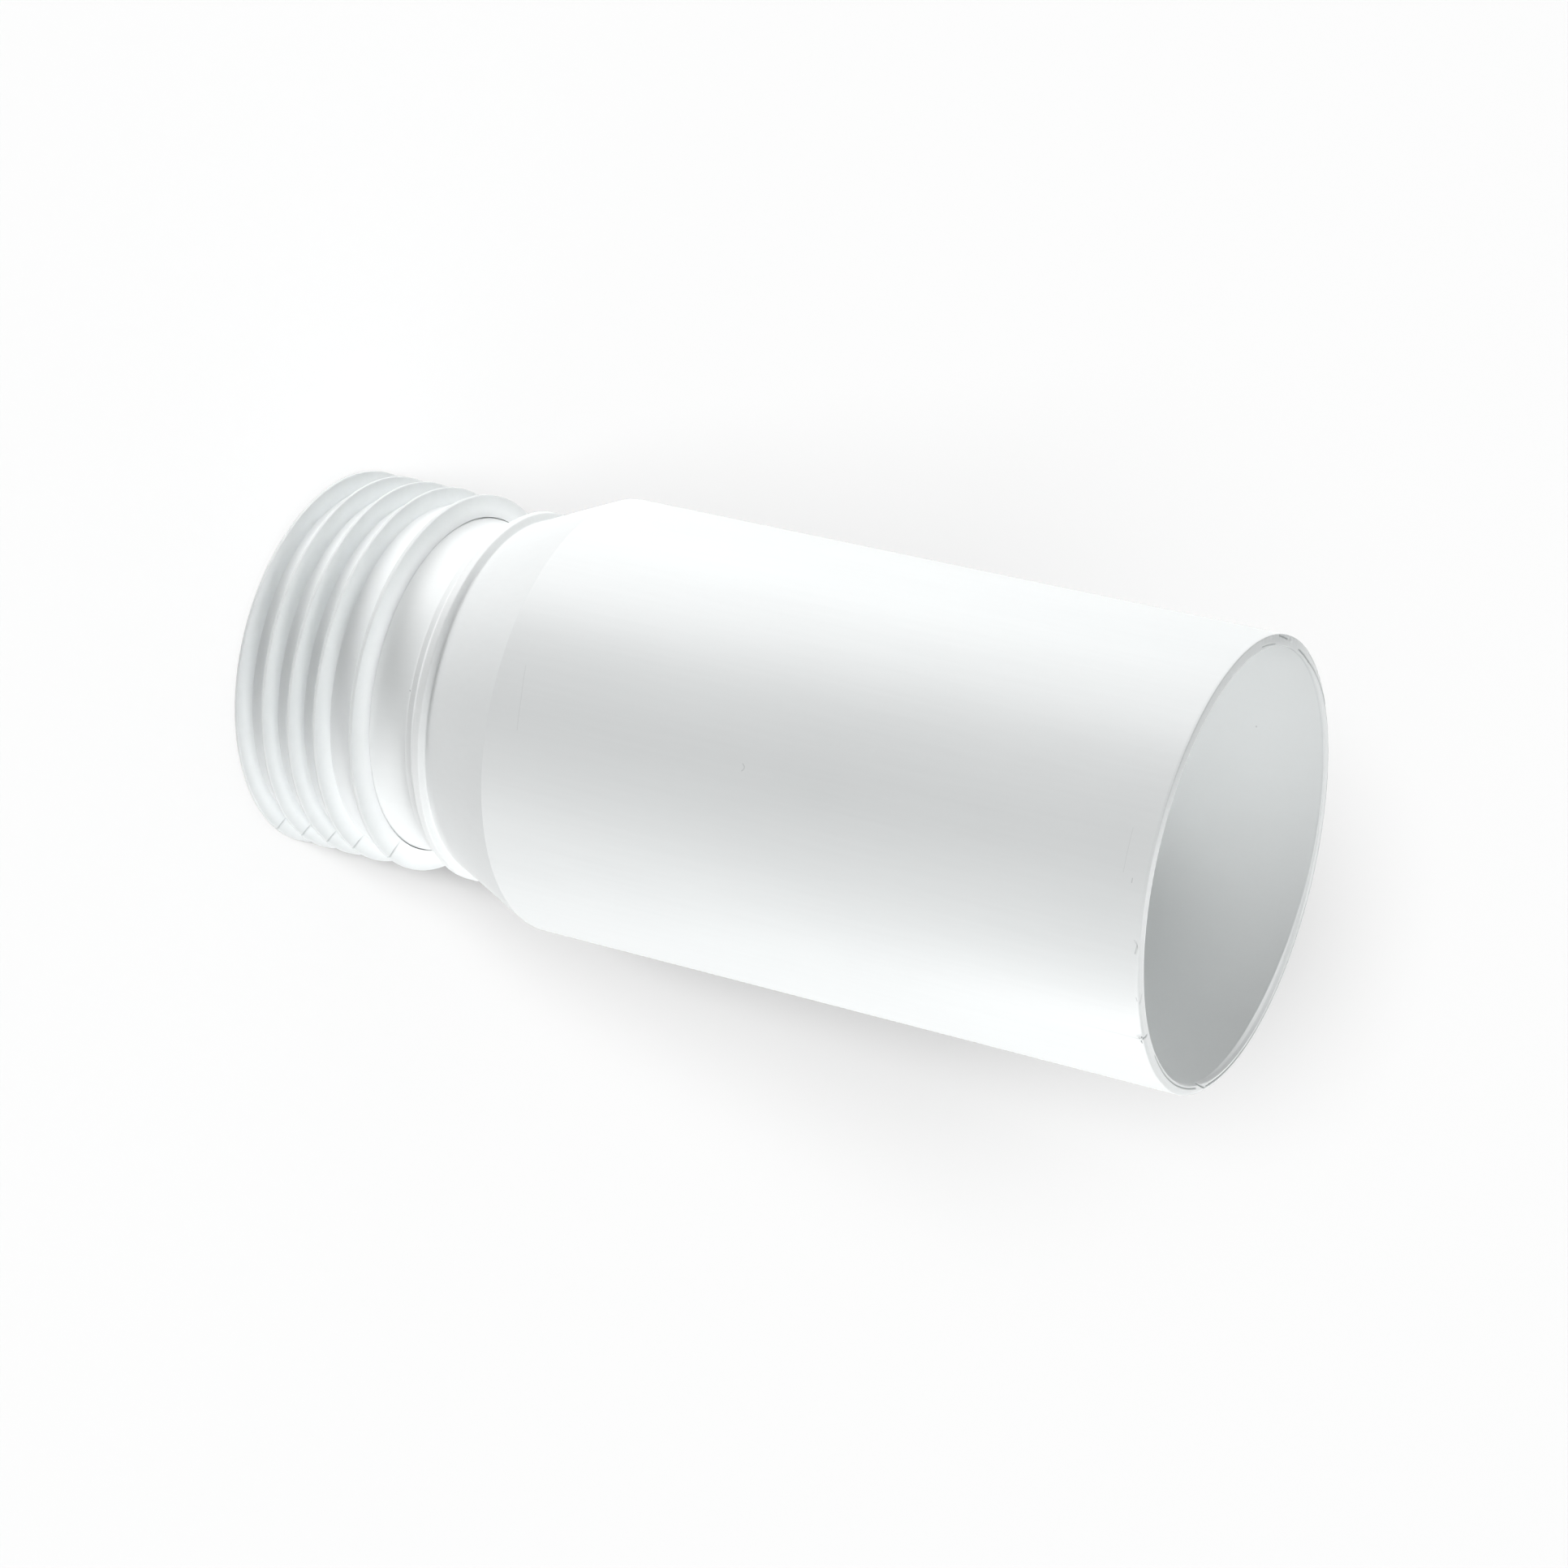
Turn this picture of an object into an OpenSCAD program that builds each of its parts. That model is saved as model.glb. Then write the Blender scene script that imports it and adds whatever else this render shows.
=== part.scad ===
// Pan connector extension, in millimetres.
// A plain inlet pipe, a cone, a stop collar, a waisted neck and a seal seat are one
// rigid moulding. A soft sleeve with five thin fins is pushed on to the seat.
// It stands on its outlet end: z = 0 is that end, and z runs up the axis to the cut
// end of the plain pipe. Every outline is turned about that axis.

/* [Plain pipe] */
// Outside diameter of the plain inlet pipe
pipe_od = 110; // [104:0.5:125]
// Wall of the rigid moulding
wall = 2.8; // [2:0.1:3.2]
// Length of the plain pipe, from its cut end to the corner of the cone
pipe_len = 173; // [60:1:400]
// Radius that the saw cut is dressed to on the outer edge
edge_round = 0.3; // [0.2:0.1:1]

/* [Cone] */
// Length of the cone along the axis
cone_len = 22.1; // [14:0.1:35]
// How far the foot of the cone stands above the neck
foot_h = 2.7; // [2:0.1:3.6]

/* [Stop collar] */
// How far the crest of the collar stands above the neck
collar_h = 4.5; // [4.2:0.1:6]
// Length of the collar's slope on the side of the cone
collar_front_w = 0.9; // [0.5:0.1:2]
// Radius of the hollow corner where that slope meets the cone
hollow_round = 0.4; // [0.2:0.1:0.6]
// Width of the collar's crest
crest_w = 1.8; // [1.4:0.1:4]
// Radius of the crest's two edges
crest_round = 0.4; // [0.2:0.1:0.7]
// Length of the collar's slope on the side of the seal
collar_back_w = 1.6; // [0.8:0.1:3]
// How far the ledge beside the collar stands above the neck
ledge_h = 2.5; // [1.5:0.1:3]
// Width of that ledge
ledge_w = 1.6; // [0.8:0.1:3]
// Radius of the ledge's edge
ledge_round = 0.2; // [0.1:0.1:0.3]
// Radius of the hollow corner between the ledge and the neck
ledge_fillet = 2.2; // [1:0.1:2.4]

/* [Neck] */
// Outside diameter of the neck where it goes into the seal
neck_od = 85.6; // [80:0.1:90]
// Length of neck that shows between the seal and the hollow corner of the ledge
neck_len = 9.8; // [6:0.1:30]
// How far the neck draws in at its waist
waist = 0.5; // [0:0.1:0.8]

/* [Seal seat] */
// Step down from the neck to the seat under the seal
seat_depth = 0.8; // [0.5:0.1:1]
// Length of neck that goes into the mouth of the seal
mouth_depth = 2; // [1:0.1:4]
// Height of the barb that keeps the seal on its seat
barb_h = 0.6; // [0.3:0.1:0.8]
// Width of the barb at its foot
barb_w = 3; // [2:0.1:4]
// Height of the barb's middle above the outlet end
barb_z = 6; // [4:0.5:10]
// Lead-in chamfer on the outer edge of the spigot's end
spigot_chamfer = 0.5; // [0.2:0.1:0.8]

/* [Finned seal] */
// Length of the seal
seal_len = 37; // [34:0.5:60]
// Thickness of the seal's sleeve
sleeve_t = 2.1; // [1.8:0.1:3]
// How far the fins stand out from the sleeve
fin_h = 4.2; // [3:0.1:8]
// Thickness of a fin at its rim
fin_tip_t = 0.8; // [0.5:0.1:1.2]
// How far a fin's flank on the side of the mouth slopes from its rim to its root
fin_front_w = 1.4; // [0.4:0.1:2]
// How far the flank on the side of the nose slopes
fin_back_w = 0.4; // [0:0.1:0.6]
// Number of like fins, from the nose up
fin_count = 4; // [2:1:4]
// Distance from one fin to the next
fin_pitch = 7.7; // [5:0.1:9]
// Height of the lowest fin's middle above the nose
fin_start = 1.5; // [1.4:0.1:5]
// Lead-in chamfer on the nose of the sleeve
nose_chamfer = 0.4; // [0.2:0.1:0.6]
// Thickness of the rim of the fin at the mouth
mouth_fin_t = 1.1; // [0.8:0.1:1.6]
// How far the face of the mouth fin falls from the mouth to its rim
mouth_fin_rake = 1.2; // [0.4:0.1:2]
// Radius of the two edges of that fin's rim
mouth_fin_round = 0.3; // [0.1:0.1:0.35]
// Gap between the neck and the lip of the mouth
mouth_gap = 0.25; // [0.2:0.05:0.8]
// Clearance between the seal and its seat
seal_clear = 0.15; // [0.05:0.05:0.3]

/* [Hidden] */
$fn = 144;
// Number of chords in an arc or a waist
ARC_STEPS = 10;

pipe_r = pipe_od / 2;
pipe_bore_r = pipe_r - wall;
neck_r = neck_od / 2;
neck_bore_r = neck_r - wall;
seat_r = neck_r - seat_depth;
foot_r = neck_r + foot_h;
crest_r = neck_r + collar_h;
ledge_r = neck_r + ledge_h;
sleeve_r = seat_r + seal_clear + sleeve_t;
fin_r = sleeve_r + fin_h;

// Heights of the rigid moulding's edges, from the outlet end up
shoulder_z = seal_len - mouth_depth;
waist_z = seal_len + neck_len;
fillet_r = min(ledge_fillet, ledge_h - ledge_round);
ledge_z = waist_z + fillet_r;
collar_z = ledge_z + ledge_w;
crest_z = collar_z + collar_back_w;
foot_z = crest_z + crest_w + collar_front_w;
corner_z = foot_z + cone_len;
top_z = corner_z + pipe_len;

// The inside of the cone keeps the wall's thickness at the corner
cone_angle = atan((pipe_r - foot_r) / cone_len);
inner_corner_z = corner_z + wall * tan(cone_angle / 2);

// Points on an arc about (r, z), from angle a0 to angle a1
function arc(r, z, radius, a0, a1) =
    [for (i = [0:ARC_STEPS]) let (a = a0 + (a1 - a0) * i / ARC_STEPS)
        [r + radius * cos(a), z + radius * sin(a)]];

// The neck's outline: a shallow hollow between the mouth and the ledge's corner
function waist_line() =
    [for (i = [0:ARC_STEPS - 1]) let (t = i / ARC_STEPS)
        [neck_r - 4 * waist * t * (1 - t), seal_len + neck_len * t]];

// Points that round the corner b, between its edges to a and to c, with a radius
function rounded(a, b, c, radius) =
    let (to_a = (a - b) / norm(a - b), to_c = (c - b) / norm(c - b),
         half = acos(to_a * to_c) / 2,
         middle = b + (to_a + to_c) / norm(to_a + to_c) * radius / sin(half),
         from = b + to_a * radius / tan(half) - middle,
         turn = (180 - 2 * half) * sign(cross(to_c, to_a)),
         start = atan2(from[1], from[0]))
    arc(middle[0], middle[1], radius, start, start + turn);

// Outline of a ridge with 45 degree flanks, on a cylinder of radius r about height z
function ridge(r, z, h, w) =
    [[r, z - w / 2], [r + h, z - w / 2 + h], [r + h, z + w / 2 - h], [r, z + w / 2]];

// Outline of one fin, from the sleeve out round its rim and back
function fin_line(z) =
    [[sleeve_r, z - fin_tip_t / 2 - fin_back_w],
     each arc(fin_r - fin_tip_t / 2, z, fin_tip_t / 2, -90, 90),
     [sleeve_r, z + fin_tip_t / 2 + fin_front_w]];

// One moulding: plain pipe, cone, collar, neck and seal seat
module extension_pipe() {
    ledge = [ledge_r, ledge_z];
    ledge_top = [ledge_r, collar_z];
    crest = [crest_r, crest_z];
    crest_top = [crest_r, crest_z + crest_w];
    foot = [foot_r, foot_z];
    corner = [pipe_r, corner_z];
    color("whitesmoke")
    rotate_extrude()
    polygon([
        [neck_bore_r, 0],
        [seat_r - spigot_chamfer, 0],
        [seat_r, spigot_chamfer],
        each ridge(seat_r, barb_z, barb_h, barb_w),
        [seat_r, shoulder_z],
        [neck_r, shoulder_z],
        each waist_line(),
        each arc(neck_r + fillet_r, waist_z, fillet_r, 180, 90),
        each rounded([neck_r, ledge_z], ledge, ledge_top, ledge_round),
        ledge_top,
        each rounded(ledge_top, crest, crest_top, crest_round),
        each rounded(crest, crest_top, foot, crest_round),
        each rounded(crest_top, foot, corner, hollow_round),
        corner,
        each arc(pipe_r - edge_round, top_z - edge_round, edge_round, 0, 90),
        [pipe_bore_r, top_z],
        [pipe_bore_r, inner_corner_z],
        [neck_bore_r, ledge_z]
    ]);
}

// Soft sleeve with its fins; its bore follows the seat and the barb with a clearance
module finned_seal() {
    bore_r = seat_r + seal_clear;
    mouth_r = neck_r + mouth_gap;
    step_z = shoulder_z - seal_clear;
    under = [fin_r, seal_len - mouth_fin_rake - mouth_fin_t];
    rim = [fin_r, seal_len - mouth_fin_rake];
    mouth = [mouth_r, seal_len];
    under_root = [sleeve_r, under[1] - fin_back_w];
    color("gainsboro")
    rotate_extrude()
    polygon([
        [bore_r, 0],
        [sleeve_r - nose_chamfer, 0],
        [sleeve_r, nose_chamfer],
        for (i = [0:fin_count - 1]) each fin_line(fin_start + i * fin_pitch),
        under_root,
        each rounded(under_root, under, rim, mouth_fin_round),
        each rounded(under, rim, mouth, mouth_fin_round),
        mouth,
        [neck_r + seal_clear, step_z + mouth_gap],
        [neck_r + seal_clear, step_z],
        [bore_r, step_z],
        for (p = [3:-1:0]) ridge(bore_r, barb_z, barb_h, barb_w + 2 * seal_clear)[p]
    ]);
}

extension_pipe();
finned_seal();
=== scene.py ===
import math

import bpy
import numpy as np
from mathutils import Euler, Matrix, Vector


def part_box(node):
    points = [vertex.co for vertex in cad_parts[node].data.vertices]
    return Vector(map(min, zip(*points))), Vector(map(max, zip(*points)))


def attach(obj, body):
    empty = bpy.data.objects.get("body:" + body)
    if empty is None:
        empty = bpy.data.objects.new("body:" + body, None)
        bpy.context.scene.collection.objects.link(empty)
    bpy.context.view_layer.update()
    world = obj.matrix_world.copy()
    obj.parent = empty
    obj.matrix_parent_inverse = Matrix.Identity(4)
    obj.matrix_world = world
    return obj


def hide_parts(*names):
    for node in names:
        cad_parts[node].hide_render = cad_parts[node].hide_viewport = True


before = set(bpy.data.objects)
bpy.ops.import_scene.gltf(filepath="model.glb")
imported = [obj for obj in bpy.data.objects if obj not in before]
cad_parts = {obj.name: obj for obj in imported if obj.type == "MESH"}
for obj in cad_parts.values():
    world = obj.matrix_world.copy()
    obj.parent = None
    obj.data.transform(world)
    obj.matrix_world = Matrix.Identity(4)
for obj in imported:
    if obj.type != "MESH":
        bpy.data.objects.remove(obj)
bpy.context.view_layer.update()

# Camera. The part stands on its outlet end, and the photo shows it lying with its mouth
# to the right. So the camera looks down on the standing part at the photo's angle, and
# it is rolled until the axis of the part points right and a little down.
LENS = 103.43
SENSOR = 36.0
AIM = Vector((0.00575, 0.0, 0.1311))
DISTANCE = 1.0997
ELEVATION = math.radians(25.642)
ROLL = math.radians(103.320)

camera = bpy.data.objects.new("camera", bpy.data.cameras.new("camera"))
camera.data.lens = LENS
camera.data.sensor_width = SENSOR
camera.data.dof.use_dof = False
level_turn = Euler((math.pi / 2 - ELEVATION, 0, 0)).to_matrix()
camera_turn = level_turn @ Matrix.Rotation(ROLL, 3, "Z")
camera.matrix_world = Matrix.Translation(AIM + camera_turn @ Vector((0, 0, DISTANCE))) @ camera_turn.to_4x4()
bpy.context.scene.collection.objects.link(camera)
bpy.context.scene.camera = camera

# Floor, backdrop and lamps. A plain white floor that reaches past every view, and soft
# lamps all round the part. Some stand lower than the floor and light the end that the
# photo shows on the left, so the floor doesn't stop the lamps' light. It has soft suns
# of its own instead, so it is evenly white and keeps the part's shadow.
FLOOR_SIZE = 12.0
FLOOR_DROP = 0.0001
# The floor's grey under its suns, first as it lights the part and then as it is seen
FLOOR_GREY = (0.01, 0.30)
WORLD_LIGHT = 0.0
LAMP_AIM = Vector((0, 0, 0.12))
# Each lamp's azimuth in degrees, distance out and height in metres, size and power
SOFT_LAMPS = {
    "front_right_softbox": (-30, 0.64, 0.89, 0.50, 6.6),
    "left_softbox": (180, 0.64, 0.89, 0.50, 3.3),
    "back_softbox": (90, 0.98, 0.33, 0.50, 4.7),
    "front_softbox": (-60, 0.87, 0.62, 0.50, 1.2),
    "right_low_strip": (0, 1.0, 0.08, 0.15, 3.9),
    "left_front_low_strip": (210, 1.0, 0.08, 0.15, 3.3),
    "left_under_softbox": (180, 0.94, -0.22, 0.50, 2.3),
    "left_front_under_softbox": (210, 0.77, -0.52, 0.50, 5.6),
    "right_front_under_softbox": (-30, 0.77, -0.52, 0.50, 3.1),
}
# Each floor sun's azimuth, elevation and width in degrees, and its strength
FLOOR_SUNS = {
    "low_floor_sun": (-91.5, 18.5, 7, 12.0),
    "side_floor_sun": (-95, 25.6, 12, 3.9),
    "wide_floor_sun": (-90, 25.6, 25, 6.4),
    "overhead_floor_sun": (0, 90, 120, 2.0),
}


def add_node(tree, kind, inputs, **settings):
    """A node with its settings, whose inputs are linked to a socket or given a value."""
    node = tree.nodes.new(kind)
    for name, value in settings.items():
        setattr(node, name, value)
    for name, value in inputs.items():
        if isinstance(value, bpy.types.NodeSocket):
            tree.links.new(value, node.inputs[name])
        else:
            node.inputs[name].default_value = value
    return node


def math_of(tree, operation, first, second=0.0):
    """The result of a maths node."""
    return add_node(tree, "ShaderNodeMath", {0: first, 1: second}, operation=operation).outputs[0]


def seen_or_mirrored(tree):
    """1 for rays that come from the camera, straight, off gloss or through glass, else 0."""
    path = tree.nodes.new("ShaderNodeLightPath")
    either = math_of(tree, "MAXIMUM", path.outputs["Is Camera Ray"], path.outputs["Is Glossy Ray"])
    return math_of(tree, "MAXIMUM", either, path.outputs["Is Transmission Ray"])


def by_ray(tree, levels):
    """The first level as a surface lights the part, and the second as it is seen."""
    seen = seen_or_mirrored(tree)
    between = {"Value": seen, "To Min": levels[0], "To Max": levels[1]}
    return add_node(tree, "ShaderNodeMapRange", between).outputs["Result"]


floor_mesh = bpy.data.meshes.new("floor")
half = FLOOR_SIZE / 2
floor_mesh.from_pydata(
    [(-half, -half, -FLOOR_DROP), (half, -half, -FLOOR_DROP), (half, half, -FLOOR_DROP), (-half, half, -FLOOR_DROP)],
    [],
    [(0, 1, 2, 3)],
)
floor = bpy.data.objects.new("floor", floor_mesh)
bpy.context.scene.collection.objects.link(floor)
floor_paint = bpy.data.materials.new("floor_paint")
floor_paint.use_nodes = True
tree = floor_paint.node_tree
tree.nodes.clear()
matt = add_node(tree, "ShaderNodeBsdfDiffuse", {"Color": by_ray(tree, FLOOR_GREY)})
add_node(tree, "ShaderNodeOutputMaterial", {"Surface": matt.outputs[0]})
floor_mesh.materials.append(floor_paint)

world = bpy.data.worlds.new("studio")
bpy.context.scene.world = world
world.use_nodes = True
tree = world.node_tree
background = tree.nodes["Background"]
background.inputs["Color"].default_value = (1, 1, 1, 1)
tree.links.new(by_ray(tree, (WORLD_LIGHT, 1.0)), background.inputs["Strength"])

lit_by_suns = bpy.data.collections.new("lit_by_floor_suns")
lit_by_suns.objects.link(floor)
all_but_floor = bpy.data.collections.new("all_but_floor")
all_but_floor.objects.link(floor)
all_but_floor.collection_objects[0].light_linking.link_state = "EXCLUDE"


def toward(azimuth, out, height):
    """The point at an azimuth in degrees, so far out from the axis and so high."""
    turn = math.radians(azimuth)
    return Vector((out * math.cos(turn), out * math.sin(turn), height))


def set_lamp(name, light, place, lights, stopped_by=None):
    """A lamp at a place that faces the part. Collections say what it lights and what stops it."""
    lamp = bpy.data.objects.new(name, light)
    lamp.location = place
    lamp.rotation_euler = (LAMP_AIM - place).to_track_quat("-Z", "Y").to_euler()
    lamp.light_linking.receiver_collection = lights
    lamp.light_linking.blocker_collection = stopped_by
    lamp.visible_camera = False
    bpy.context.scene.collection.objects.link(lamp)


for name, (azimuth, out, height, size, power) in SOFT_LAMPS.items():
    light = bpy.data.lights.new(name, "AREA")
    light.shape = "SQUARE"
    light.size = size
    light.energy = power
    set_lamp(name, light, toward(azimuth, out, height), all_but_floor, all_but_floor)
for name, (azimuth, elevation, width, strength) in FLOOR_SUNS.items():
    light = bpy.data.lights.new(name, "SUN")
    light.angle = math.radians(width)
    light.energy = strength
    rise = math.radians(elevation)
    set_lamp(name, light, LAMP_AIM + toward(azimuth, math.cos(rise), math.sin(rise)), lit_by_suns)

bpy.context.scene.view_settings.view_transform = "Standard"

# Extension pipe. One rigid white moulding: plain inlet pipe, cone, stop collar with a
# hollow corner, waisted neck and the seat that the seal is pushed on to. It is injection
# moulded. Its plain end was sawn off and dressed with a knife, and both left their marks.
MM = 0.001
WALL = 2.8
CONE_LEN = 22.1
FOOT_R = 45.5
COLLAR_FRONT_W = 0.9
HOLLOW_ROUND = 0.4
CREST_R = 47.3
CREST_W = 1.8
CREST_ROUND = 0.4
COLLAR_BACK_W = 1.6
LEDGE_R = 45.3
LEDGE_W = 1.6
LEDGE_ROUND = 0.2
LEDGE_FILLET = 2.2
NECK_R = 42.8
NECK_LEN = 9.8
WAIST = 0.5
SEAT_R = 42.0
MOUTH_DEPTH = 2.0
BARB_H = 0.6
BARB_W = 3.0
BARB_Z = 6.0
SPIGOT_CHAMFER = 0.5
# How far the tallest lips and burrs of the cut stand above its face
CUT_RELIEF = 0.15
CUT_ROUND = 0.3
# Lines on the cut face: angle in degrees and radius at both ends, half width and height
CUT_MARKS = [
    (-27, 52.5, 8, 53.4, 0.14, -0.35),
    (-27, 52.2, 8, 52.9, 0.20, 0.12),
    (8.5, 52.4, 14.5, 54.3, 0.15, -0.45),
    (14.8, 53.1, 15.8, 53.7, 0.25, 0.15),
    (15, 53.95, 40, 54.3, 0.28, -0.38),
    (40, 54.3, 85, 54.5, 0.28, -0.34),
    (15, 53.2, 80, 53.7, 0.30, 0.10),
    (137.6, 54.8, 151, 53.9, 0.20, -0.30),
    (151, 53.9, 163, 53.1, 0.18, -0.30),
    (163, 53.1, 172.6, 53.1, 0.18, -0.30),
    (85, 54.5, 165, 54.75, 0.25, -0.16),
    (140, 54.3, 163, 52.8, 0.15, 0.10),
    (179, 53.9, 180.5, 53.9, 0.30, 0.15),
    (182.5, 54.05, 188.1, 54.6, 0.15, -0.26),
    (190.5, 52.8, 199.3, 53.1, 0.15, -0.14),
    (-80, 54.75, -10, 54.75, 0.12, 0.10),
    (-51.4, 53.3, -49.5, 54.5, 0.13, -0.25),
    (-38.0, 54.9, -37.7, 53.1, 0.20, -0.45),
]
# Lines on the outside near the cut: the same, with the depth below the cut face
EDGE_MARKS = [
    (-66.7, 0.75, -65.2, 0.3, 0.16, -0.10),
    (-65.2, 0.3, -63.5, 0.75, 0.16, -0.10),
    (-38.0, -0.2, -37.05, 0.45, 0.26, -0.40),
]
# The depth at which a mark is darkest, by its dirt and painted shade
DARKEST_MARK_DEPTH = 0.35
# The knife's chamfer on the bore's edge and the dressing of the outer edge: angle in
# degrees, width in radians, reach across the face and slope
CHAMFER = (47, 0.55, 1.1, 1.2)
DRESSING = (-15, 0.75, 1.1, 0.35)
# The burr on the bore's edge: angle in degrees, width in radians, how far it stands in
# and how deep it reaches
BURR = (-65, 0.75, 0.40, 0.9)
# The torn stretch of the cut: its middle and half length in degrees, and its height
TORN = (187, 10, 0.13)
# Stretches with finer columns: from and to angle in degrees, and step
PIPE_CROWDS = [
    (-67.5, -62.7, 0.25),
    (-52.2, -48.8, 0.25),
    (-39.6, -35.8, 0.2),
    (6, 17, 0.2),
    (158, 201, 0.35),
]
COLUMN_STEP = 1.5

PIPE_R = round(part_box("extension_pipe")[1].x / MM, 2)
PIPE_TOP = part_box("extension_pipe")[1].z / MM
SEAL_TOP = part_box("finned_seal")[1].z / MM

ARC_PARTS = 5
EDGE_GUARD = 0.12


def rounded_outline(corners):
    """Rows (r, z) along a closed outline with rounded corners.

    corners has rows (r, z, radius, step). An arc of that radius touches both edges of
    its corner, radius * tan(turn / 2) away from it. The straight stretch to the next
    corner is cut into parts no longer than step, with a short part beside each arc so
    that the shading of a flat face stays flat.
    """
    corners = np.asarray(corners, float)
    point, radius, step = corners[:, :2], corners[:, 2], corners[:, 3]
    way_in = point - np.roll(point, 1, axis=0)
    way_in /= np.linalg.norm(way_in, axis=1, keepdims=True)
    way_out = np.roll(way_in, -1, axis=0)
    turn = np.arctan2(way_in[:, 0] * way_out[:, 1] - way_in[:, 1] * way_out[:, 0], (way_in * way_out).sum(1))
    reach = radius * np.tan(np.abs(turn) / 2)
    side = np.sign(turn)
    centre = point - way_in * reach[:, None] + np.stack([-way_in[:, 1], way_in[:, 0]], 1) * (side * radius)[:, None]
    share = np.linspace(0, 1, ARC_PARTS + 1)
    angle = turn[:, None] * share
    start = point - way_in * reach[:, None] - centre
    arc = centre[:, None] + np.stack(
        [
            start[:, :1] * np.cos(angle) - start[:, 1:] * np.sin(angle),
            start[:, :1] * np.sin(angle) + start[:, 1:] * np.cos(angle),
        ],
        2,
    )
    rows = []
    for i in range(len(point)):
        after = (i + 1) % len(point)
        rows.append(arc[i] if radius[i] > 0 else point[i : i + 1])
        begin, end = rows[-1][-1], arc[after, 0]
        length = np.linalg.norm(end - begin)
        room = EDGE_GUARD if length > 4 * EDGE_GUARD else 0
        near, far = room * (radius[i] > 0), room * (radius[after] > 0)
        parts = max(1, math.ceil((length - near - far) / step[i]))
        inner = np.linspace(near, length - far, parts + 1)
        inner = inner[0 if near else 1 : None if far else -1]
        rows.append(begin + (end - begin) / max(length, 1e-9) * inner[:, None])
    return np.concatenate(rows)


def crowded_turns(step, crowds):
    """Angles once round in radians: step degrees apart, and closer in each crowd."""
    turns = np.arange(0, 360, step)
    for start, stop, fine in crowds:
        inside = (turns - start) % 360 <= stop - start
        turns = np.concatenate([turns[~inside], np.arange(start, stop + fine / 2, fine) % 360])
    return np.radians(np.unique(turns.round(4)))


def turned_mesh(name, outline, turns, shift):
    """A closed outline (r, z) carried once round Z, as a grid of rows and angles.

    shift(r, z, angle) gives how far each point of the grid moves outward and upward,
    and how dark it is painted, by dirt and painted shade, which goes into the point
    attribute "dirt_and_painted_shade". Faces run along the angle first and the outline
    second, which points them outward.
    """
    radius, turn = np.meshgrid(outline[:, 0], turns, indexing="ij")
    height = np.repeat(outline[:, 1:], len(turns), axis=1)
    outward, upward, dirt_and_painted_shade = shift(radius, height, turn)
    radius, height = radius + outward, height + upward
    points = np.stack([radius * np.cos(turn), radius * np.sin(turn), height], -1) * MM
    rows, columns = turn.shape
    index = np.arange(rows * columns).reshape(rows, columns)
    right, above = np.roll(index, -1, axis=1), np.roll(index, -1, axis=0)
    above_right = np.roll(above, -1, axis=1)
    faces = np.stack([index, right, above_right, above], -1).reshape(-1, 4)
    mesh = bpy.data.meshes.new(name)
    mesh.from_pydata(points.reshape(-1, 3).tolist(), [], faces.tolist())
    mesh.shade_smooth()
    mesh.attributes.new("dirt_and_painted_shade", "FLOAT", "POINT").data.foreach_set("value", dirt_and_painted_shade.ravel())
    piece = bpy.data.objects.new(name, mesh)
    bpy.context.scene.collection.objects.link(piece)
    return piece


cut_z = PIPE_TOP - CUT_RELIEF
waist_z = SEAL_TOP + NECK_LEN
ledge_z = waist_z + LEDGE_FILLET
collar_z = ledge_z + LEDGE_W
crest_z = collar_z + COLLAR_BACK_W
foot_z = crest_z + CREST_W + COLLAR_FRONT_W
corner_z = foot_z + CONE_LEN
bore_r = PIPE_R - WALL
neck_bore_r = NECK_R - WALL
cone_angle = math.atan2(PIPE_R - FOOT_R, CONE_LEN)
inner_corner_z = corner_z + WALL * math.tan(cone_angle / 2)
shoulder_z = SEAL_TOP - MOUTH_DEPTH

fillet_turn = np.linspace(math.pi, math.pi / 2, 9)
fillet_rows = np.stack(
    [
        NECK_R + LEDGE_FILLET + LEDGE_FILLET * np.cos(fillet_turn),
        waist_z + LEDGE_FILLET * np.sin(fillet_turn),
        np.zeros(9),
        np.full(9, 5.0),
    ],
    1,
)
share = np.linspace(0, 1, 13)[:-1]
waist_rows = np.stack(
    [
        NECK_R - 4 * WAIST * share * (1 - share),
        SEAL_TOP + NECK_LEN * share,
        np.zeros(12),
        np.full(12, 5.0),
    ],
    1,
)
pipe_outline = rounded_outline(
    [
        (neck_bore_r, 0, 0.2, 5),
        (SEAT_R - SPIGOT_CHAMFER, 0, 0.1, 5),
        (SEAT_R, SPIGOT_CHAMFER, 0.1, 5),
        (SEAT_R, BARB_Z - BARB_W / 2, 0, 5),
        (SEAT_R + BARB_H, BARB_Z - BARB_W / 2 + BARB_H, 0, 5),
        (SEAT_R + BARB_H, BARB_Z + BARB_W / 2 - BARB_H, 0, 5),
        (SEAT_R, BARB_Z + BARB_W / 2, 0, 15),
        (SEAT_R, shoulder_z, 0, 5),
        (NECK_R, shoulder_z, 0, 5),
        *waist_rows,
        *fillet_rows,
        (LEDGE_R, ledge_z, LEDGE_ROUND, 5),
        (LEDGE_R, collar_z, 0.15, 5),
        (CREST_R, crest_z, CREST_ROUND, 5),
        (CREST_R, crest_z + CREST_W, CREST_ROUND, 5),
        (FOOT_R, foot_z, HOLLOW_ROUND, 7),
        (PIPE_R, corner_z, 0.25, 18),
        (PIPE_R, cut_z - 2.2, 0, 0.15),
        (PIPE_R, cut_z, CUT_ROUND, 0.1),
        (bore_r, cut_z, 0.25, 0.15),
        (bore_r, cut_z - 1.2, 0, 18),
        (bore_r, inner_corner_z, 1.0, 7),
        (neck_bore_r, ledge_z, 1.0, 10),
    ]
)


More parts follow.
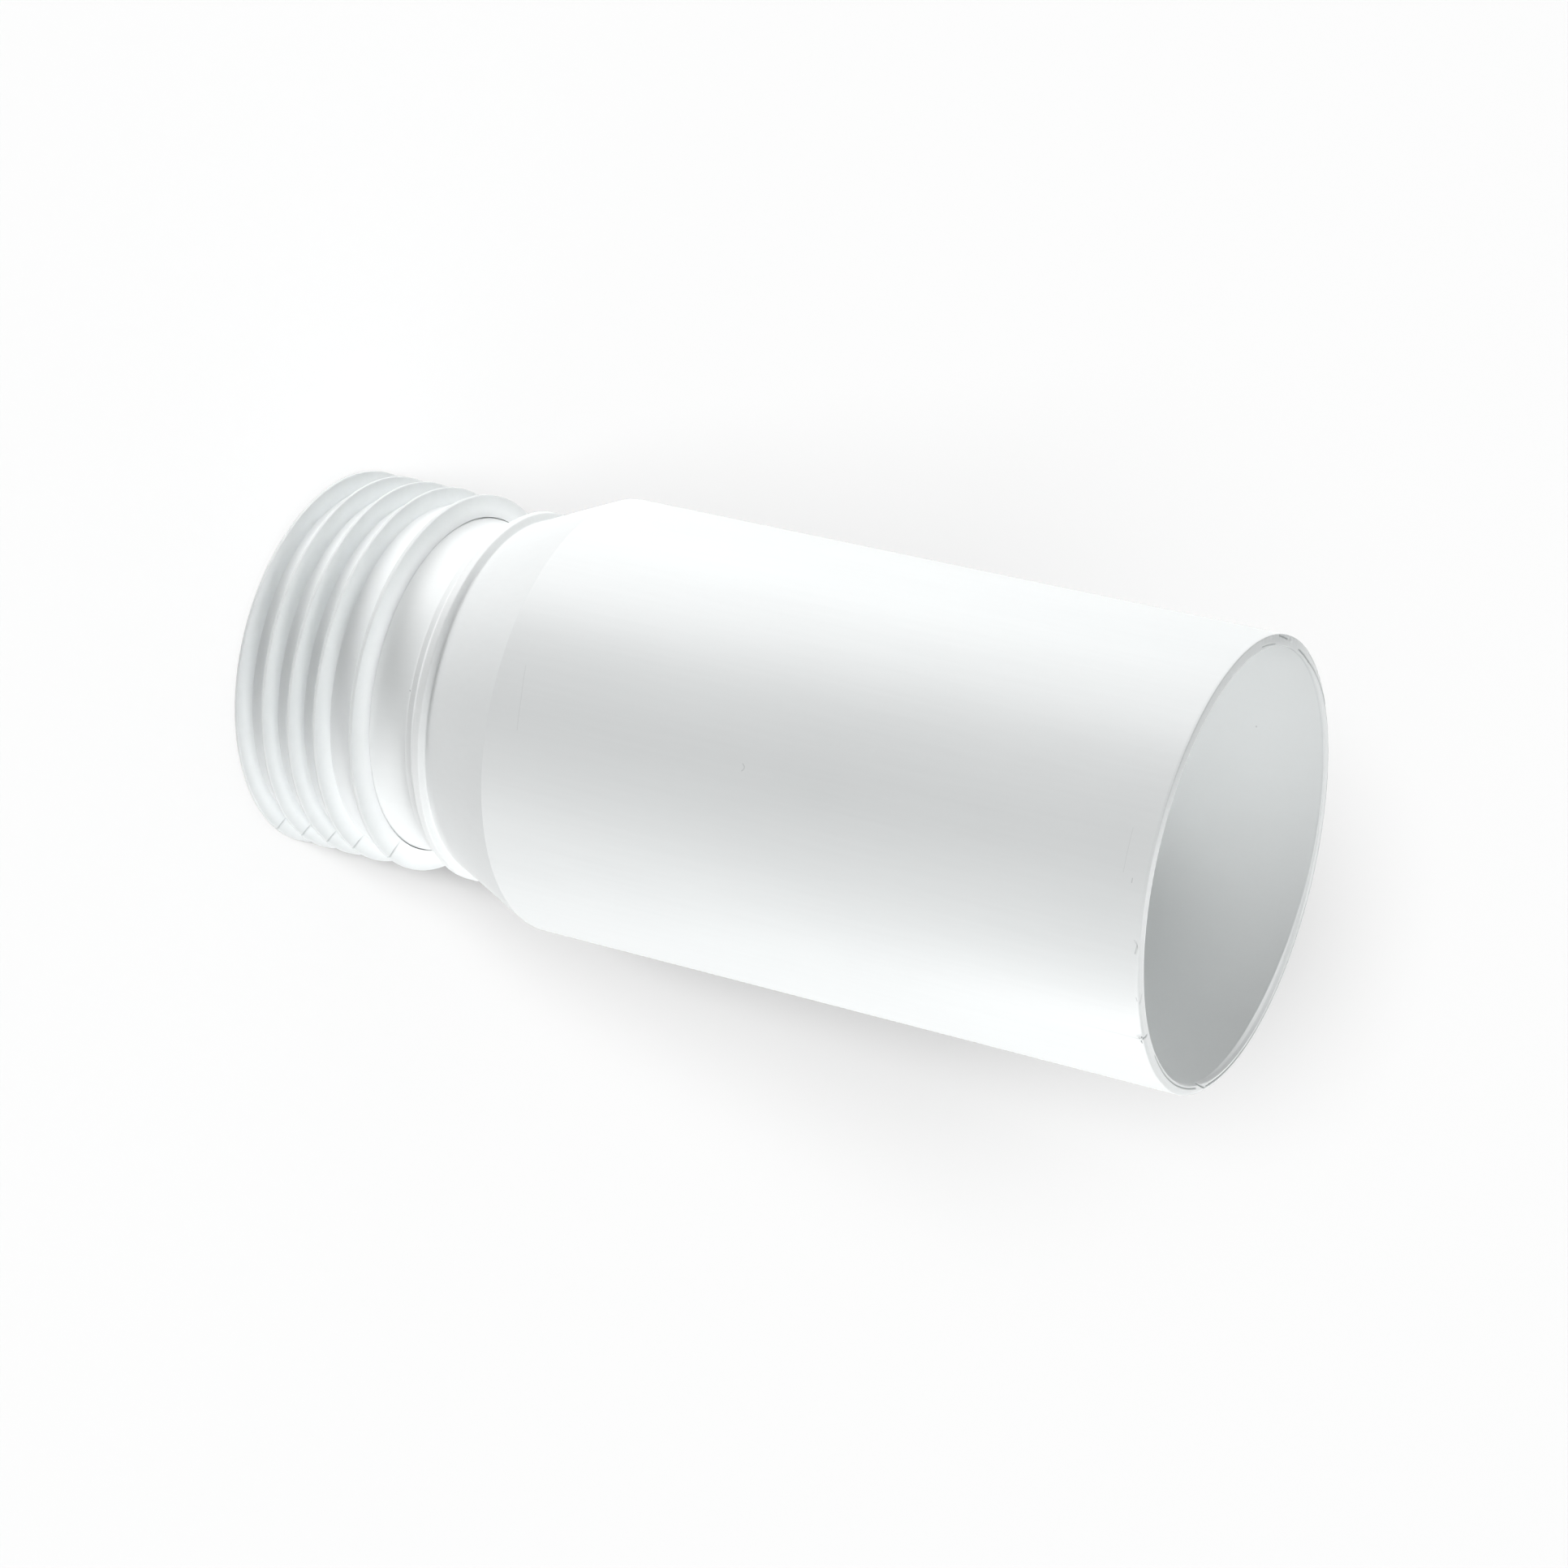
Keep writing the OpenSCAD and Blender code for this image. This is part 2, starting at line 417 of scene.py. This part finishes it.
def scored(angle, across, marks):
    """Height of marks on a surface unrolled to (PIPE_R * angle, across), in mm.

    Each is a straight line with a bell section: height * exp(-(distance / half)**2).
    """
    per_degree = math.radians(PIPE_R)
    total = np.zeros_like(angle)
    for start, from_across, stop, to_across, half, height in marks:
        along = ((angle - start + 180) % 360 - 180) * per_degree
        beside = across - from_across
        run, rise = (stop - start) * per_degree, to_across - from_across
        part = np.clip((along * run + beside * rise) / (run**2 + rise**2), 0, 1)
        distance = np.hypot(along - part * run, beside - part * rise)
        total += height * np.exp(-((distance / half) ** 2))
    return total


def bell(turn, middle, width):
    """1 at an angle given in degrees, falling off round the circle over width radians."""
    return np.exp((np.cos(turn - math.radians(middle)) - 1) / width**2)


def pipe_shift(radius, height, turn):
    """The moulding's slight ovality, and the marks, chamfer and torn edge of its cut end.

    The ovality has two lobes of 0.03 mm that fade in above the cone. The chamfer and the
    dressing fall evenly from their reach on the face to its edge. The burr stands in most
    at the cut and less and less below it. The torn stretch is a sum of three waves. The
    marks are darker by their depth, up to DARKEST_MARK_DEPTH: dirt held in them and
    painted shade in their hollows.
    """
    angle = np.degrees(turn)
    above_cone = np.clip((height - corner_z) / 100, 0, 1)
    outward = 0.03 * above_cone * (np.cos(2 * turn + 0.6) - 1)
    outside = (radius > PIPE_R - 1e-6) & (height < cut_z)
    near_cut = np.clip(1 - (cut_z - height) / 3, 0, 1)
    on_edge = np.where(outside, scored(angle, cut_z - height, EDGE_MARKS), 0)
    on_face = scored(angle, radius, CUT_MARKS)
    dirt_and_painted_shade = np.clip(-(on_edge + on_face * near_cut) / DARKEST_MARK_DEPTH, 0, 1)
    below = np.clip((cut_z - height) / BURR[3], 0, 1)
    on_bore = np.clip(1 - (radius - bore_r) / 0.4, 0, 1)
    outward += on_edge - BURR[2] * bell(turn, *BURR[:2]) * (1 - below) ** 2 * on_bore
    upward = on_face
    for (middle, width, reach, slope), across in [(CHAMFER, radius - bore_r), (DRESSING, PIPE_R - radius)]:
        upward = upward - slope * np.clip(reach * bell(turn, middle, width) - across, 0, None)
    ragged = np.sin(2.1 * angle) + np.sin(4.7 * angle + 1) + 0.8 * np.sin(9.1 * angle + 2)
    torn = TORN[2] * bell(turn, TORN[0], math.radians(TORN[1]))
    upward -= torn * np.abs(ragged) * np.clip((radius - 53.0) / 1.2, 0, 1)
    return outward, np.minimum(upward, CUT_RELIEF) * near_cut, dirt_and_painted_shade


pipe = turned_mesh("extension_pipe_moulding", pipe_outline, crowded_turns(COLUMN_STEP, PIPE_CROWDS), pipe_shift)

# Hairlines and specks on the walls: angle in degrees, radius and height at both ends,
# half width and depth of tone
HAIRLINES = [
    (-92.8, 55.0, 243.7, -82.2, 55.0, 243.7, 0.10, 0.16),
    (-81.3, 55.0, 246.1, -80.3, 55.0, 246.1, 0.15, 0.35),
    (-66.8, 55.0, 248.5, -65.7, 55.0, 249.2, 0.18, 0.25),
    (-65.7, 55.0, 249.2, -63.5, 55.0, 248.8, 0.18, 0.35),
    (-51.6, 55.0, 249.2, -50.6, 55.0, 249.4, 0.15, 0.35),
    (-38.6, 55.0, 249.5, -37.6, 55.0, 248.8, 0.22, 0.80),
    (-37.6, 55.0, 248.8, -36.6, 55.0, 249.3, 0.16, 0.60),
    (-38.0, 54.9, 249.5, -37.7, 53.4, 249.3, 0.22, 0.80),
    (-86.5, 55.0, 145.9, -85.9, 55.0, 146.5, 0.12, 0.40),
    (-85.9, 55.0, 146.5, -85.3, 55.0, 146.5, 0.12, 0.40),
    (-85.3, 55.0, 146.5, -84.7, 55.0, 146.0, 0.12, 0.40),
    (-97.9, 55.0, 83.8, -89.7, 55.0, 84.9, 0.14, 0.14),
    (-89.7, 55.0, 84.9, -81.7, 55.0, 85.5, 0.14, 0.14),
    (-83.9, 42.9, 47.4, -83.7, 42.9, 47.5, 0.25, 0.55),
    (130.8, 52.2, 232.1, 131.0, 52.2, 232.2, 0.28, 0.50),
    (-33.5, 52.3, 249.5, -33.3, 52.3, 249.5, 0.22, 0.60),
    (-31.6, 52.3, 249.5, -31.2, 52.3, 249.5, 0.22, 0.50),
]
# Colours of the pipe where it is darkest, in a gouge, and where it is lightest
PIPE_DARK = (0.19, 0.21, 0.213)
PIPE_LIGHT = (0.88, 0.90, 0.90)
# Painted shade on one side of the cut face, where it faces away from the light: the side's angle, and how far that
# way it fades in
SHADED_CUT_ANGLE = -145
SHADED_CUT_REACH = (22, 48)
# Share of a radius that counts as distance, so that a hairline reaches a wall out of round
HAIRLINE_DEPTH = 0.2


def object_mm(tree):
    """Object coordinates in millimetres."""
    place = tree.nodes.new("ShaderNodeTexCoord").outputs["Object"]
    return add_node(tree, "ShaderNodeVectorMath", {0: place, "Scale": 1 / MM}, operation="SCALE").outputs[0]


def noise_of(tree, place, stretch, size, detail=2.0):
    """Noise from 0 to 1 with lumps of a size in mm, after the place is stretched."""
    stretched = add_node(tree, "ShaderNodeVectorMath", {0: place, 1: stretch}, operation="MULTIPLY").outputs[0]
    return add_node(tree, "ShaderNodeTexNoise", {"Vector": stretched, "Scale": 1 / size, "Detail": detail}).outputs["Fac"]


def ranged(tree, value, low, high, to_low=0.0, to_high=1.0):
    """The value carried smoothly from low..high to to_low..to_high, and held there."""
    limits = {"Value": value, "From Min": low, "From Max": high, "To Min": to_low, "To Max": to_high}
    return add_node(tree, "ShaderNodeMapRange", limits, interpolation_type="SMOOTHSTEP").outputs["Result"]


def summed(tree, terms):
    """The sum of several values, each times its own factor."""
    total = 0.0
    for value, factor in terms:
        total = add_node(tree, "ShaderNodeMath", {0: value, 1: factor, 2: total}, operation="MULTIPLY_ADD").outputs[0]
    return total


def hairline_tone(tree, place):
    """The deepest tone of the hairlines, each a line in (PIPE_R * angle, radius, height)."""
    axes = add_node(tree, "ShaderNodeSeparateXYZ", {0: place}).outputs
    angle = math_of(tree, "ARCTAN2", axes["Y"], axes["X"])
    across = add_node(tree, "ShaderNodeVectorMath", {0: place, 1: (1, 1, 0)}, operation="MULTIPLY").outputs[0]
    radius = add_node(tree, "ShaderNodeVectorMath", {0: across}, operation="LENGTH").outputs["Value"]
    flat = {
        "X": math_of(tree, "MULTIPLY", angle, PIPE_R),
        "Y": math_of(tree, "MULTIPLY", radius, HAIRLINE_DEPTH),
        "Z": axes["Z"],
    }
    point = add_node(tree, "ShaderNodeCombineXYZ", flat).outputs[0]
    tone = 0.0
    for *ends, half, depth in HAIRLINES:
        scale = np.array([math.radians(PIPE_R), HAIRLINE_DEPTH, 1])
        start, run = np.array(ends[:3]) * scale, (np.array(ends[3:]) - ends[:3]) * scale
        off = add_node(tree, "ShaderNodeVectorMath", {0: point, 1: tuple(start)}, operation="SUBTRACT").outputs[0]
        along = add_node(tree, "ShaderNodeVectorMath", {0: off, 1: tuple(run / (run @ run))}, operation="DOT_PRODUCT")
        part = add_node(tree, "ShaderNodeClamp", {"Value": along.outputs["Value"]}).outputs[0]
        back = add_node(tree, "ShaderNodeVectorMath", {0: tuple(run), "Scale": part}, operation="SCALE").outputs[0]
        gap = add_node(tree, "ShaderNodeVectorMath", {0: off, 1: back}, operation="DISTANCE").outputs["Value"]
        tone = math_of(tree, "MAXIMUM", ranged(tree, gap, 0.4 * half, half, depth, 0), tone)
    return tone


def toned(tree, dark, light, tone):
    """A colour between two, by a tone from 0 to 1."""
    between = {"Factor": tone, "A": (*dark, 1), "B": (*light, 1)}
    mix = add_node(tree, "ShaderNodeMix", {}, data_type="RGBA")
    for socket in mix.inputs:
        if socket.enabled and socket.name in between:
            value = between[socket.name]
            if isinstance(value, bpy.types.NodeSocket):
                tree.links.new(value, socket)
            else:
                socket.default_value = value
    return [socket for socket in mix.outputs if socket.enabled][0]


white_moulding = bpy.data.materials.new("white_moulding")
white_moulding.use_nodes = True
tree = white_moulding.node_tree
place = object_mm(tree)
hairlines = hairline_tone(tree, place)
cloud = noise_of(tree, place, (1, 1, 0.6), 38, 3)
streak = noise_of(tree, place, (1, 1, 0.04), 1.2)
peel = noise_of(tree, place, (1, 1, 1), 0.9, 1)
grain = noise_of(tree, place, (1, 1, 1), 0.22)
saw = noise_of(tree, place, (0.04, 1, 0.04), 0.28, 1)
axes = add_node(tree, "ShaderNodeSeparateXYZ", {0: place}).outputs
across = add_node(tree, "ShaderNodeVectorMath", {0: place, 1: (1, 1, 0)}, operation="MULTIPLY").outputs[0]
radius = add_node(tree, "ShaderNodeVectorMath", {0: across}, operation="LENGTH").outputs["Value"]
cut = math_of(tree, "MULTIPLY", ranged(tree, axes["Z"], cut_z - 0.8, cut_z - 0.5), ranged(tree, radius, PIPE_R, PIPE_R - 0.2))
# The cut's marks are darker by their depth: dirt held in them and painted shade in their hollows.
dirt_and_painted_shade = add_node(tree, "ShaderNodeAttribute", {}, attribute_name="dirt_and_painted_shade").outputs["Fac"]
above_cone = ranged(tree, axes["Z"], inner_corner_z, inner_corner_z + 1)
# The bore is painted lighter than the outside: painted light inside the pipe.
inside = math_of(tree, "MULTIPLY", ranged(tree, radius, bore_r + 0.1, bore_r + 0.02), above_cone)
# One side of the cut face is painted darker: painted shade where it faces away from the light.
toward_shaded_cut = (math.cos(math.radians(SHADED_CUT_ANGLE)), math.sin(math.radians(SHADED_CUT_ANGLE)), 0)
shaded_cut_side = add_node(tree, "ShaderNodeVectorMath", {0: place, 1: toward_shaded_cut}, operation="DOT_PRODUCT").outputs["Value"]
painted_cut_shade = math_of(tree, "MULTIPLY", cut, ranged(tree, shaded_cut_side, *SHADED_CUT_REACH))
# The neck between the seal's mouth and the ledge is painted lighter: painted light against the shade that the mouth
# fin casts.
below_ledge = ranged(tree, axes["Z"], ledge_z - 2, ledge_z - 10)
neck_painted_light = math_of(tree, "MULTIPLY", below_ledge, ranged(tree, axes["Z"], SEAL_TOP - 1, SEAL_TOP))
tone = summed(
    tree,
    [
        (1.0, 0.20),
        (cloud, 0.20),
        (streak, 0.10),
        (inside, 0.35),
        (neck_painted_light, 0.3),
        (hairlines, -1.5),
        # The cut face is darker: its sawn face is greyer, and it also holds painted shade.
        (cut, -0.30),
        (painted_cut_shade, -0.45),
        (dirt_and_painted_shade, -0.9),
    ],
)
shader = tree.nodes["Principled BSDF"]
tree.links.new(toned(tree, PIPE_DARK, PIPE_LIGHT, ranged(tree, tone, -1.5, 0.8)), shader.inputs["Base Color"])
rough = summed(tree, [(streak, 0.10), (cloud, 0.08), (cut, 0.18), (hairlines, 0.3)])
tree.links.new(math_of(tree, "ADD", rough, 0.34), shader.inputs["Roughness"])
shader.inputs["Specular IOR Level"].default_value = 0.4
sawn = math_of(tree, "MULTIPLY", saw, cut)
relief = summed(tree, [(peel, 0.008), (streak, 0.002), (grain, 0.003), (sawn, 0.05)])
bump = add_node(tree, "ShaderNodeBump", {"Height": relief, "Strength": 1.0, "Distance": MM})
tree.links.new(bump.outputs[0], shader.inputs["Normal"])
pipe.data.materials.append(white_moulding)
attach(pipe, "root")
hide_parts("extension_pipe")

# Swarf. A curl of the same white plastic, about a millimetre across, that the saw left
# hanging on the outer edge of the cut beside its gouge.
SWARF_ANGLE = -38.6
SWARF_CENTRE = (0.42, 0.55)
SWARF_ROUND = (0.46, 0.30)
SWARF_TURN = (185, -75)
SWARF_WIDTH = (0.9, 0.35)
SWARF_THICK = 0.14
SWARF_ROWS = 24


def swarf_mesh():
    """A flat band on a spiral: radius and width change evenly as it turns.

    At each row, the spiral gives how far out from the wall and how far below the cut
    the band is, and the four corners of its section stand about that point.
    """
    share = np.linspace(0, 1, SWARF_ROWS)[:, None]
    turn = np.radians(SWARF_TURN[0] + (SWARF_TURN[1] - SWARF_TURN[0]) * share)
    width = SWARF_WIDTH[0] + (SWARF_WIDTH[1] - SWARF_WIDTH[0]) * share
    side = np.array([[-0.5, 0.5, 0.5, -0.5]]) * width
    thick = np.array([[-0.5, -0.5, 0.5, 0.5]]) * SWARF_THICK
    spiral = SWARF_ROUND[0] + (SWARF_ROUND[1] - SWARF_ROUND[0]) * share + thick
    radius = PIPE_R + SWARF_CENTRE[0] + spiral * np.cos(turn)
    height = cut_z - SWARF_CENTRE[1] + spiral * np.sin(turn)
    angle = math.radians(SWARF_ANGLE) + (side - 0.5 * share) / PIPE_R
    points = np.stack([radius * np.cos(angle), radius * np.sin(angle), height], -1) * MM
    index = np.arange(points[..., 0].size).reshape(SWARF_ROWS, 4)
    right = np.roll(index, -1, axis=1)
    sides = np.stack([index[:-1], right[:-1], right[1:], index[1:]], -1).reshape(-1, 4)
    faces = np.concatenate([sides, index[:1, ::-1], index[-1:]])
    mesh = bpy.data.meshes.new("swarf_curl")
    mesh.from_pydata(points.reshape(-1, 3).tolist(), [], faces.tolist())
    return mesh


swarf = bpy.data.objects.new("swarf_curl", swarf_mesh())
bpy.context.scene.collection.objects.link(swarf)
swarf.data.materials.append(white_moulding)
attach(swarf, "root")

# Finned seal. A soft white sleeve with four like fins and a thicker one at its mouth,
# moulded in one piece of flexible plastic and pushed on to the seat over the barb. Its
# fins lean and wave a little, and a fine parting line crosses them.
SLEEVE_T = 2.1
FIN_H = 4.2
FIN_TIP_T = 0.8
FIN_FRONT_W = 1.4
FIN_BACK_W = 0.4
FIN_COUNT = 4
FIN_PITCH = 7.7
FIN_START = 1.5
NOSE_CHAMFER = 0.4
MOUTH_FIN_T = 1.1
MOUTH_FIN_RAKE = 1.2
MOUTH_GAP = 0.25
SEAL_CLEAR = 0.15
# How far the fins' rims lean to the nose, and at what angle they lean the most
FIN_LEAN = 0.25
LEAN_ANGLE = -75
# The least gap at the mouth, and where it is wider: middle in degrees, width, more gap
TIGHT_GAP = 0.06
WIDE_GAPS = [(-14, 0.3, 0.26), (-167, 0.3, 0.22)]
# The parting line's angle in degrees, its half width in degrees and its depth
PARTING = (-16.5, 0.25, 0.18)
SEAL_COLUMN_STEP = 1.25
# Painted shade on the fins, darker towards their rims so that the hollows between them read
# # lighter, as a share of the darkening in the parting line
RIM_PAINTED_SHADE = 0.63
# Colours of the seal where it is darkest, in the parting line, and where it is lightest
SEAL_DARK = (0.285, 0.31, 0.314)
SEAL_LIGHT = (0.915, 0.94, 0.943)

seal_bore_r = SEAT_R + SEAL_CLEAR
sleeve_r = seal_bore_r + SLEEVE_T
fin_r = sleeve_r + FIN_H
seal_step_z = shoulder_z - SEAL_CLEAR
mouth_rim_z = SEAL_TOP - MOUTH_FIN_RAKE
groove_half = BARB_W / 2 + SEAL_CLEAR

fin_rows = []
for k in range(FIN_COUNT):
    fin_z = FIN_START + k * FIN_PITCH
    fin_rows += [
        (sleeve_r, fin_z - FIN_TIP_T / 2 - FIN_BACK_W, 0.12, 2),
        (fin_r, fin_z - FIN_TIP_T / 2, FIN_TIP_T * 0.45, 2),
        (fin_r, fin_z + FIN_TIP_T / 2, FIN_TIP_T * 0.45, 2),
        (sleeve_r, fin_z + FIN_TIP_T / 2 + FIN_FRONT_W, 0.15, 3),
    ]
seal_outline = rounded_outline(
    [
        (seal_bore_r, 0, 0.1, 5),
        (sleeve_r - NOSE_CHAMFER, 0, 0.1, 5),
        (sleeve_r, NOSE_CHAMFER, 0.1, 5),
        *fin_rows,
        (sleeve_r, mouth_rim_z - MOUTH_FIN_T - FIN_BACK_W, 0.12, 2),
        (fin_r, mouth_rim_z - MOUTH_FIN_T, 0.3, 2),
        (fin_r, mouth_rim_z, 0.3, 2),
        (NECK_R + MOUTH_GAP, SEAL_TOP, 0.06, 5),
        (NECK_R + SEAL_CLEAR, seal_step_z + MOUTH_GAP, 0, 5),
        (NECK_R + SEAL_CLEAR, seal_step_z, 0, 5),
        (seal_bore_r, seal_step_z, 0, 15),
        (seal_bore_r, BARB_Z + groove_half, 0, 5),
        (seal_bore_r + BARB_H, BARB_Z + groove_half - BARB_H, 0, 5),
        (seal_bore_r + BARB_H, BARB_Z - groove_half + BARB_H, 0, 5),
        (seal_bore_r, BARB_Z - groove_half, 0, 5),
    ]
)


def seal_shift(radius, height, turn):
    """Fins that lean and wave, a mouth that opens and closes, and the parting line.

    Dirt lies in that line. The fins are painted darker towards their rims, a painted shade
    that leaves the hollows between them lighter.
    A fin's point rises by its share of the way out, times two waves round the seal less
    the lean. The lip moves to the gap at its angle, less and less away from it. The
    parting line is a bell-shaped groove in the fins' rims and flanks.
    """
    out = np.clip((radius - sleeve_r) / FIN_H, 0, 1)
    which = np.round((height - FIN_START) / FIN_PITCH)
    wave = 0.08 * np.cos(2 * turn + 1.7 * which) + 0.05 * np.cos(3 * turn + 2.3 * which + 1)
    lean = FIN_LEAN * np.cos(turn - math.radians(LEAN_ANGLE))
    gap = TIGHT_GAP + sum(more * bell(turn, middle, width) for middle, width, more in WIDE_GAPS)
    lip = np.clip(1 - (radius - NECK_R - MOUTH_GAP) / 3, 0, 1) * np.clip((height - seal_step_z) / 1.5, 0, 1)
    parted = PARTING[2] * bell(turn, PARTING[0], math.radians(PARTING[1])) * np.clip(out * 5, 0, 1)
    middles = FIN_START + FIN_PITCH * np.arange(FIN_COUNT)
    middles = np.append(middles, mouth_rim_z - MOUTH_FIN_T / 2)
    from_middle = height - middles[np.abs(height[..., None] - middles).argmin(-1)]
    outward = (gap - MOUTH_GAP) * lip - parted
    upward = (wave - lean) * out - np.clip(from_middle * 3, -1, 1) * parted
    return outward, upward, np.clip(RIM_PAINTED_SHADE * out + parted / PARTING[2], 0, 1)


seal_turns = crowded_turns(SEAL_COLUMN_STEP, [(PARTING[0] - 1, PARTING[0] + 1, 0.1)])
seal = turned_mesh("finned_seal_sleeve", seal_outline, seal_turns, seal_shift)

soft_moulding = bpy.data.materials.new("soft_moulding")
soft_moulding.use_nodes = True
tree = soft_moulding.node_tree
place = object_mm(tree)
cloud = noise_of(tree, place, (1, 1, 1), 14, 3)
matt = noise_of(tree, place, (1, 1, 1), 0.30)
flow = noise_of(tree, place, (1, 1, 0.3), 2.5)
# Dirt in the parting line, and painted shade that darkens the fins towards their rims and leaves the hollows between
# them lighter.
dirt_and_painted_shade = add_node(tree, "ShaderNodeAttribute", {}, attribute_name="dirt_and_painted_shade").outputs["Fac"]
tone = summed(tree, [(1.0, 0.45), (cloud, 0.12), (flow, 0.08), (matt, 0.06), (dirt_and_painted_shade, -0.8)])
shader = tree.nodes["Principled BSDF"]
tree.links.new(toned(tree, SEAL_DARK, SEAL_LIGHT, ranged(tree, tone, -1.0, 0.75)), shader.inputs["Base Color"])
tree.links.new(summed(tree, [(cloud, 0.10), (flow, 0.08), (1.0, 0.46)]), shader.inputs["Roughness"])
shader.inputs["Specular IOR Level"].default_value = 0.35
shader.inputs["Subsurface Weight"].default_value = 0.4
shader.inputs["Subsurface Radius"].default_value = (1.0, 1.0, 0.95)
shader.inputs["Subsurface Scale"].default_value = 0.003
relief = summed(tree, [(matt, 0.012), (flow, 0.02)])
bump = add_node(tree, "ShaderNodeBump", {"Height": relief, "Strength": 1.0, "Distance": MM})
tree.links.new(bump.outputs[0], shader.inputs["Normal"])
seal.data.materials.append(soft_moulding)
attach(seal, "root")
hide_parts("finned_seal")
